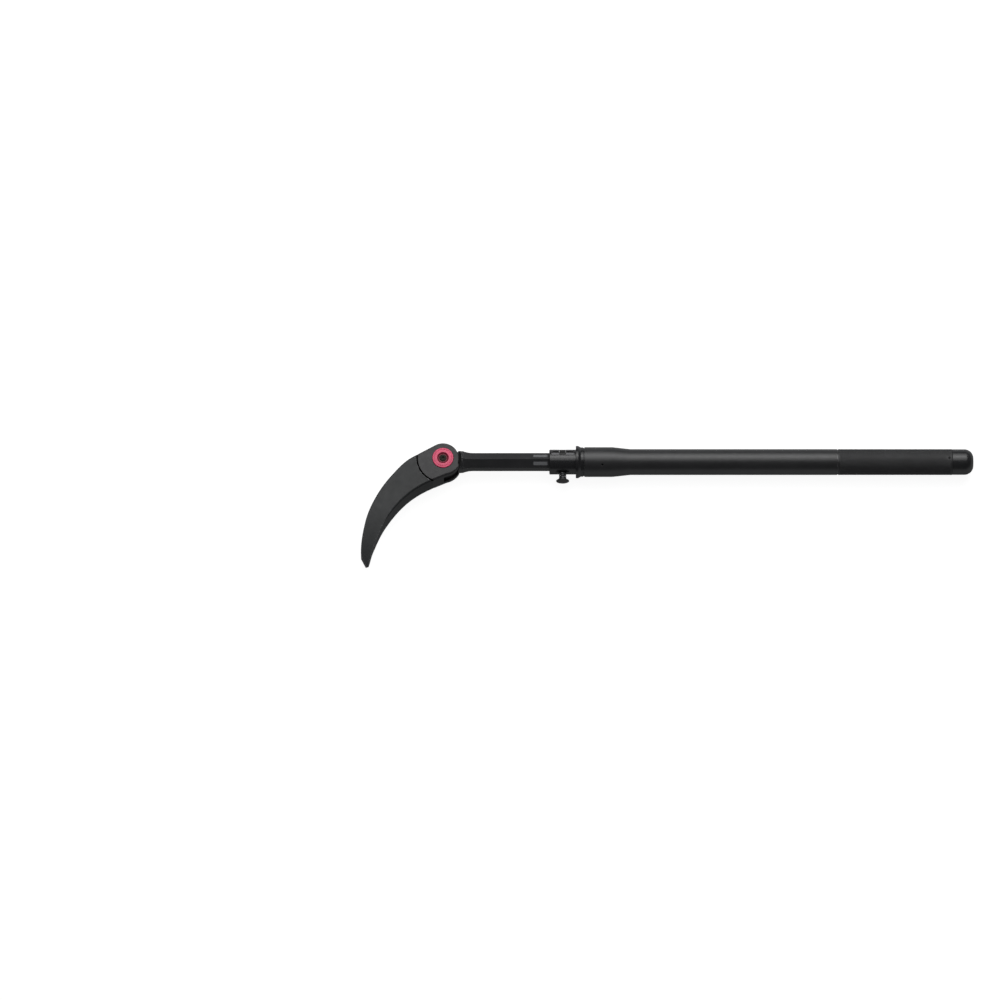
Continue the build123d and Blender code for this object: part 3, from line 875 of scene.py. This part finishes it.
def make_housing():
    """Collar, flange and shoulder, with the bar's bore, the gate's slot and the seat beside it."""
    housing = turned(
        "lock_housing_shell",
        [
            (collar_front, 6.0, 0),
            (collar_front, collar_r, 0.9),
            (flange_front, collar_r, 0.5),
            (flange_front, flange_r, 0.5),
            (flange_back - 0.4, flange_r, 0.5),
            (flange_back + 2.7, shoulder_r, 0.6),
            (bell_front - 1.3, shoulder_r, 0.25),
            (bell_front - 0.9, shoulder_r - 0.7, 0),
            (bell_front + 0.02, shoulder_r - 0.7, 0),
            (bell_front + 0.02, bell_r - tube_wall - 0.01, 0),
            (spigot_back, bell_r - tube_wall - 0.01, 0.4),
            (spigot_back, 6.0, 0),
        ],
        segments=160,
    )
    bore = prism(hexagon(bar_af + 2 * bar_clearance, 30), -1, spigot_back - collar_front + 1)
    bore = place(bore, along_x(collar_front))
    slot_outline = []
    corner = acos(gate_slot_half / gate_slot_r)
    for index in range(25):
        turn = pi / 2 + corner + (pi - 2 * corner) * index / 24
        slot_outline.append((gate_slot_r * cos(turn), gate_slot_r * sin(turn)))
    slot_outline += [(30, -gate_slot_half), (30, gate_slot_half)]
    slot = place(prism(slot_outline, 0, gate_width), along_x(lock_x - gate_width / 2))
    lean = radians(recess_angle)
    seat_front = collar_front + 2.4 + recess_width / 2
    seat_back = flange_front - 1.6 - recess_width / 2
    seat = []
    for index in range(25):
        turn = -pi / 2 + pi * index / 24
        seat.append((seat_back + recess_width / 2 * cos(turn), recess_width / 2 * sin(turn)))
    for index in range(25):
        turn = pi / 2 + pi * index / 24
        seat.append((seat_front + recess_width / 2 * cos(turn), recess_width / 2 * sin(turn)))
    lean_frame = Matrix.Rotation(-lean, 4, "X")
    recess = place(prism(seat, recess_floor, 30), lean_frame)
    stem_hole = place(rod(2.6, 8, 20), facing((0, -1, 0), (lock_x, 0, 0)))
    spring_seat = place(rod(4.9, collar_r - 0.5, 20), facing((0, -1, 0), (lock_x, 0, 0)))
    combine(housing, "DIFFERENCE", bore, slot, recess, stem_hole, spring_seat)
    soften(housing, 0.28, 2, 35)
    finish_piece(housing, HOUSING_BLACK, "handle", "housing_steel", "lock_housing")


# --- Length lock -----------------------------------------------------------------------------
def coil(name, radius, wire, turns, low, high, centre, axis, body, look, slot_name, *nodes):
    """A closed-and-ground compression spring, wound as one tube of wire."""
    bm = bmesh.new()
    per_turn = 36
    count = int(turns * per_turn)
    sides = 12
    pitch_length = (high - low) - wire
    rings = []
    for index in range(count + 1):
        share = index / count
        # the first and last turn lie nearly flat
        eased = min(1.0, max(0.0, (share * turns - 0.75) / max(turns - 1.5, 0.01)))
        along = low + wire / 2 + pitch_length * eased
        turn = 2 * pi * share * turns
        out = Vector((cos(turn), sin(turn)))
        ring = []
        for side in range(sides):
            bend = 2 * pi * side / sides
            r = radius - wire / 2 + wire / 2 * cos(bend)
            place_on = spot(axis, along + wire / 2 * sin(bend), out.x * r, out.y * r)
            ring.append(bm.verts.new(place_on))
        rings.append(ring)
    for ring, following in zip(rings, rings[1:]):
        for a in range(sides):
            b = (a + 1) % sides
            bm.faces.new((ring[a], ring[b], following[b], following[a]))
    bm.faces.new(rings[0][::-1])
    bm.faces.new(rings[-1])
    bmesh.ops.translate(bm, verts=bm.verts, vec=Vector(centre))
    piece = from_bmesh(name, bm, 60)
    return finish_piece(piece, look, body, slot_name, *nodes)


def make_lock():
    knob_face, knob_inner = knob_low.y, knob_high.y
    rim = (knob_high.x - knob_low.x) / 2
    knob = turned(
        "lock_knob_shown",
        [
            (knob_face, 0, 0),
            (knob_face, rim, 0.7),
            (knob_face + 1.1, rim, 0.4),
            (knob_face + 1.7, rim - 1.4, 1.2),
            (knob_inner, 4.4, 0.3),
            (knob_inner, 2.5, 0),
            (knob_inner - 0.6, 0, 0),
        ],
        centre=(lock_x, 0, 0), axis="Y", segments=96, sharp=40,
    )
    finish_piece(knob, KNOB_BLACK, "lock", "gloss_black", "lock_knob")
    dress("lock_stem", OXIDE_BLACK)
    dress("lock_gate", OXIDE_BLACK, 0.3)
    spring = coil(
        "lock_spring_wire", 4.5, 1.2, 4.2, spring_low.y, spring_high.y, (lock_x, 0, 0), "Y",
        "handle", SPRING_BLACK, "spring_steel", "lock_spring",
    )
    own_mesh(spring)


# --- Sliding bar -----------------------------------------------------------------------------
flare_steps = 12
bar_root = 2.1            # how far the hexagon runs into the shoulder


def make_bar():
    """The flared and notched hexagon is lofted section by section, then its front end is cut."""
    flare_wide = pivot_x + bar_shoulder_r + bar_flare_land
    start = flare_wide - bar_root
    end = guide_front
    flank = notch_depth * sqrt(3)

    def section(x, width, depth):
        corners = hexagon(width, 30)
        top = width / sqrt(3)
        ring = [(flank, top - notch_depth), (0, top - depth), (-flank, top - notch_depth)]
        ring += [corners[2], corners[3], corners[4], corners[5], corners[0]]
        return [(x, y, z) for y, z in ring]

    # the hexagon narrows from the shoulder in a hollow curve
    stations = [(start, bar_flare_af, 0)]
    for index in range(flare_steps + 1):
        share = index / flare_steps
        width = bar_af + (bar_flare_af - bar_af) * (1 - share) ** 2
        stations.append((flare_wide + bar_flare_length * share, width, 0))
    for index in range(notch_count):
        near = lock_x + index * notch_pitch - notch_width / 2
        far = near + notch_width
        stations += [(near, bar_af, 0), (near, bar_af, notch_depth)]
        stations += [(far, bar_af, notch_depth), (far, bar_af, 0)]
    stations.append((end, bar_af, 0))
    bm = bmesh.new()
    rings = [[bm.verts.new(corner) for corner in section(*station)] for station in stations]
    for ring, following in zip(rings, rings[1:]):
        for a in range(len(ring)):
            b = (a + 1) % len(ring)
            face = [ring[a], ring[b], following[b], following[a]]
            spots = {tuple(round(c, 5) for c in v.co) for v in face}
            if len(spots) > 2:
                bm.faces.new(face)
    bm.faces.new(rings[0])
    bm.faces.new(rings[-1][::-1])
    bar = from_bmesh("hex_bar_shown", bm, 30)

    shoulder = spin(
        [
            (flare_wide - 8.0, 0),
            (flare_wide - 8.0, bar_shoulder_od / 2),
            (flare_wide - 2.6, bar_shoulder_od / 2),
            (flare_wide - 0.6, bar_shoulder_od / 2 - 0.5),
            (flare_wide + 0.4, bar_shoulder_od / 2 - 1.2),
            (flare_wide + 0.4, 0),
        ],
        "X",
        96,
    )
    combine(bar, "UNION", shoulder)
    hollow = place(rod(bar_shoulder_r, -20, 20, 160), about_hinge())
    combine(bar, "DIFFERENCE", hollow)
    tongue = [(tongue_r * cos(a), tongue_r * sin(a)) for a in arc_turns(30.3, 329.7, 72)]
    tongue += [(bar_shoulder_r + 3, -neck_width / 2), (bar_shoulder_r + 3, neck_width / 2)]
    combine(bar, "UNION", place(prism(tongue, -tongue_half, tongue_half), about_hinge()))
    combine(bar, "DIFFERENCE", place(rod(tongue_bore_r, -20, 20, 96), about_hinge()))
    soften(bar, 0.35, 2, 28)
    finish_piece(bar, BAR_BLACK, "bar", "bar_steel", "hex_bar")
    dress("rear_guide", NYLON_BLACK)
    dress("guide_screw", SCREW_STEEL)


def arc_turns(first, last, count):
    return [radians(first + (last - first) * i / count) for i in range(count + 1)]


# --- Head ------------------------------------------------------------------------------------
hollow_bevel = 2.8        # round along the claw's hollow side
lower_bevel_share = 0.28  # of the same round on the lower face
rim_bevel = 0.9           # round the eye and along the back
tip_bevel = 0.6
heel_first = -78.0        # where the heel's arc starts and ends, and where the eye's starts
heel_last = -28.0
eye_first = -15.0
back_angle = 119.0
back_length = 31.0
edge_back = Vector((-97.7, -121.1))
edge_tip = Vector((-92.0, -133.1))
edge_front = Vector((-88.7, -131.9))
claw_root = Vector((-14.0, -29.6))
back_points = [(-62.0, -22.7), (-80.4, -49.8), (-92.2, -79.3)]
hollow_points = [(-83.2, -111.8), (-68.7, -79.7), (-43.5, -48.8)]


def polar(radius, angle):
    return Vector((radius * cos(radians(angle)), radius * sin(radians(angle))))


def flowing(points, first_run, last_run, steps=12):
    """A smooth line through points, with its directions at both ends given."""
    slopes = [first_run.normalized()]
    for index in range(1, len(points) - 1):
        slopes.append((points[index + 1] - points[index - 1]).normalized())
    slopes.append(last_run.normalized())
    line = [points[0]]
    for index in range(len(points) - 1):
        p, q = points[index], points[index + 1]
        span = (q - p).length
        u, v = slopes[index] * span, slopes[index + 1] * span
        for step in range(1, steps + 1):
            t = step / steps
            line.append(
                p * (2 * t**3 - 3 * t**2 + 1) + u * (t**3 - 2 * t**2 + t)
                + q * (3 * t**2 - 2 * t**3) + v * (t**3 - t**2)
            )
    return line


def head_outline():
    """Points round the head, each with the width of the bevel there."""
    back_start = polar(eye_r, back_angle)
    run = polar(1.0, back_angle + 90)
    back_end = back_start + run * back_length
    line = [(back_start, rim_bevel)]
    for step in range(1, 6):
        line.append((back_start + run * back_length * step / 6, rim_bevel))
    back = [back_end] + [Vector(p) for p in back_points] + [edge_back]
    convex = flowing(back, run, Vector((0.04, -1)))
    line += [(p, rim_bevel) for p in convex]
    line += [(p, tip_bevel) for p in (edge_back.lerp(edge_tip, 0.5), edge_tip, edge_front)]
    hollow = [edge_front] + [Vector(p) for p in hollow_points] + [claw_root]
    concave = flowing(hollow, Vector((0.32, 1)), Vector((1, 0.47)))
    for index, p in enumerate(concave[1:]):
        grow = min(1.0, (index + 1) / len(concave) * 1.4)
        line.append((p, 0.7 + (hollow_bevel - 0.7) * grow**2 * (3 - 2 * grow)))
    heel_start = polar(heel_r, heel_first)
    for step in range(1, 4):
        line.append((claw_root.lerp(heel_start, step / 4), hollow_bevel))
    for step in range(9):
        angle = heel_first + (heel_last - heel_first) * step / 8
        line.append((polar(heel_r, angle), hollow_bevel - 0.16 * step))
    round_start = polar(eye_r, eye_first)
    line.append((polar(heel_r, heel_last).lerp(round_start, 0.5), 1.5))
    for step in range(45):
        angle = eye_first + (back_angle - eye_first) * step / 45
        line.append((polar(eye_r, angle), rim_bevel))
    return line


# Round of the rim, from the flat face to the side: how far in and how far down, in bevel widths
bevel_section = [(1.0, 0.0), (0.62, 0.10), (0.27, 0.40), (0.06, 0.80), (0.0, 1.25)]


def make_head():
    line = head_outline()
    count = len(line)
    inward = []
    for index in range(count):
        before, after = line[index - 1][0], line[(index + 1) % count][0]
        run = (after - before).normalized()
        inward.append(Vector((-run.y, run.x)))
    bm = bmesh.new()
    # Rows from the lower face, round the bevel and up the side, to the upper face
    rows = []
    for side in (-1, 1):
        for inset, drop in bevel_section[::-side]:
            row = []
            for (p, width), normal in zip(line, inward):
                if side < 0:
                    width *= lower_bevel_share
                q = p + normal * width * inset
                z = side * (half_head - width * drop * 0.8)
                row.append(bm.verts.new((pivot_x + q.x, q.y, z)))
            rows.append(row)
    for row, following in zip(rows, rows[1:]):
        for a in range(count):
            b = (a + 1) % count
            bm.faces.new((row[a], row[b], following[b], following[a]))
    bm.faces.new(rows[0][::-1])
    bm.faces.new(rows[-1])
    head = from_bmesh("pry_head_shown", bm, 40)
    tools = [
        rod(fork_r, -fork_half, fork_half, 128),
        rod(hub_hole_r, 0, 20, 96),
        rod(button_pocket_r, button_pocket_floor, 20, 128),
        rod(lower_bore_r, cover_high.z, 0, 112),
        rod(cover_seat_r, -20, cover_high.z, 112),
        rod(snap_groove_r, cover_low.z - snap_groove_width, cover_low.z, 112),
    ]
    for face in (-1, 1):
        tools.append(ring_tool(face))
        tools.append(taper_tool(face))
    combine(head, "DIFFERENCE", *[place(tool, about_hinge()) for tool in tools])
    soften(head, 0.35, 2, 32)
    finish_piece(head, FORGED_BLACK, "head", "forged_steel", "pry_head")


def taper_tool(face):
    """A block with a hollow side of one long arc, which closes one flat side in on the edge."""
    run = taper_start - edge_tip.y
    drop = half_head - edge_thickness / 2
    radius = (run**2 + drop**2) / (2 * drop)
    steps = 28
    profile = []
    for index in range(steps + 1):
        y = taper_start - (run + 3) * index / steps
        z = half_head - radius + sqrt(radius**2 - (taper_start - y) ** 2)
        profile.append((y, face * z))
    profile += [(taper_start - run - 3, face * 30), (taper_start, face * 30)]
    along = Matrix(((0, 0, 1, 0), (1, 0, 0, 0), (0, 1, 0, 0), (0, 0, 0, 1)))
    return place(prism(profile, -160, 40), along)


def ring_tool(face):
    """A square-sectioned ring that cuts the line round the hinge boss into one face."""
    inner, outer = boss_line_r - boss_line_width / 2, boss_line_r + boss_line_width / 2
    near, far = face * (half_head - boss_line_depth), face * (half_head + 2)
    return spin([(near, inner), (near, outer), (far, outer), (far, inner)], "Z", 200)


def make_button():
    top, bottom, rim = ring_high.z, ring_low.z, (ring_high.x - ring_low.x) / 2
    centre = (pivot_x, 0, 0)
    ring = turned(
        "button_ring_shown",
        [
            (bottom, 2.0, 0),
            (bottom, rim, 0.2),
            (top, rim, 0.7),
            (top, 10.9, 0.1),
            (top - 0.25, 10.65, 0.1),
            (top - 0.25, 10.25, 0.1),
            (top, 10.0, 0.1),
            (top, 7.0, 0.25),
            (top - 1.1, 5.2, 0.6),
            (top - 1.1, 4.4, 0),
            (top - 1.8, 4.4, 0),
            (top - 1.8, 2.0, 0),
        ],
        centre=centre, axis="Z", segments=144, sharp=40,
    )
    finish_piece(ring, RED_ENAMEL, "index_button", "red_enamel", "button_ring")
    screw_top = screw_high.z
    screw = turned(
        "button_screw_shown",
        [
            (screw_low.z, 0, 0),
            (screw_low.z, 2.0, 0),
            (top - 1.8, 2.0, 0),
            (top - 1.8, 4.2, 0),
            (screw_top, 4.2, 0.5),
            (screw_top, 0, 0),
        ],
        centre=centre, axis="Z", segments=96, sharp=40,
    )
    socket_cut = place(prism(hexagon(3.6), screw_top - 1.6, screw_top + 2), about_hinge())
    combine(screw, "DIFFERENCE", socket_cut)
    smooth(screw, 40)
    finish_piece(screw, SCREW_STEEL, "index_button", "screw_steel", "button_screw")
    dress("lock_gear", DARK_STEEL)
    dress("upper_washer", WIRE_STEEL)
    dress("lower_washer", WIRE_STEEL)
    dress("snap_ring", WIRE_STEEL)
    cover = turned(
        "back_cover_shown",
        [
            (cover_low.z, 0, 0),
            (cover_low.z, 4.0, 0),
            (cover_low.z + 0.25, 4.6, 0.3),
            (cover_low.z + 0.25, 10.4, 0.3),
            (cover_low.z, 11.0, 0.2),
            (cover_low.z, cover_seat_r - 0.02, 0),
            (cover_high.z, cover_seat_r - 0.02, 0),
            (cover_high.z, 0, 0),
        ],
        centre=centre, axis="Z", segments=112, sharp=40,
    )
    finish_piece(cover, HOUSING_BLACK, "head", "housing_steel", "back_cover")
    spring = coil(
        "index_spring_wire", 6.5, 1.6, 4.2, index_low.z, index_high.z, centre, "Z", "head",
        WIRE_STEEL, "spring_steel", "index_spring",
    )
    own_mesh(spring)


make_tube()
make_grip()
make_cap()
make_housing()
make_lock()
make_bar()
make_head()
make_button()


# --- Floor and light -------------------------------------------------------------------------
key_power = 16.0
scrim_power = 54.0
floor_glow = 0.93
floor_half = 30000.0
# How bright the room is by height of direction, from straight down to straight up
room_levels = [(-1.0, 0.12), (1.0, 0.13), (-0.85, 0.22), (-0.5, 0.48), (-0.05, 0.60), (0.12, 0.13)]


def make_floor():
    """A pale floor that the flange rests on, wide enough to fill every view.  It glows a little,
    so the shadow stays soft, and its bounce is left to the world's own floor glow."""
    made, tree = material("pale_floor")
    shade = noise(tree, object_coordinates(tree), 400.0, 2.0)
    tint = mix(tree, shade, (0.17, 0.17, 0.17, 1.0), (0.18, 0.18, 0.18, 1.0))
    shader = new_node(tree, "ShaderNodeBsdfPrincipled", {"Base Color": tint, "Roughness": 0.9})
    shader.inputs["Specular IOR Level"].default_value = 0.0
    shader.inputs["Emission Color"].default_value = (1, 1, 1, 1)
    shader.inputs["Emission Strength"].default_value = floor_glow
    out = new_node(tree, "ShaderNodeOutputMaterial")
    tree.links.new(socket(shader), out.inputs["Surface"])
    bm = bmesh.new()
    corners = [(-1, -1), (1, -1), (1, 1), (-1, 1)]
    bm.faces.new(
        [bm.verts.new((x * floor_half, y * floor_half, -flange_r - 0.05)) for x, y in corners]
    )
    floor_piece = from_bmesh("floor", bm)
    floor_piece.data.materials.append(made)
    floor_piece.visible_diffuse = False
    floor_piece.visible_glossy = False


def softbox(name, angle, distance, width, depth, power):
    """A rectangular light at an angle from straight up, towards +Y, that faces the tool."""
    data = bpy.data.lights.new(name, "AREA")
    data.shape = "RECTANGLE"
    data.size = width * MM
    data.size_y = depth * MM
    data.energy = power
    lamp = bpy.data.objects.new(name, data)
    bpy.context.scene.collection.objects.link(lamp)
    toward = Vector((0, sin(radians(angle)), cos(radians(angle))))
    lamp.location = toward * distance * MM
    lamp.rotation_mode = "QUATERNION"
    lamp.rotation_quaternion = toward.to_track_quat("Z", "Y")


def make_light():
    """Two softboxes behind the tool, a dim room, and a glow from the floor to the horizon."""
    world = bpy.data.worlds.new("studio")
    world.use_nodes = True
    tree = world.node_tree
    tree.nodes.clear()
    place_in_room = new_node(tree, "ShaderNodeTexCoord")
    apart = new_node(tree, "ShaderNodeSeparateXYZ", {"Vector": socket(place_in_room, "Generated")})
    ramp = new_node(tree, "ShaderNodeValToRGB", {"Fac": remap(tree, apart.outputs["Z"], -1.0, 1.0)})
    stops = ramp.color_ramp.elements
    for index, (height, level) in enumerate(room_levels):
        stop = stops[index] if index < 2 else stops.new((height + 1) / 2)
        stop.color = (level * 0.97, level * 0.985, level, 1)
    background = new_node(tree, "ShaderNodeBackground", {"Color": socket(ramp, "Color")})
    out = new_node(tree, "ShaderNodeOutputWorld")
    tree.links.new(socket(background), out.inputs["Surface"])
    bpy.context.scene.world = world
    softbox("key", 31.0, 2200.0, 2800.0, 700.0, key_power)
    softbox("scrim", 30.0, 2300.0, 3000.0, 2700.0, scrim_power)
    bpy.context.scene.view_settings.view_transform = "Standard"


make_floor()
make_light()
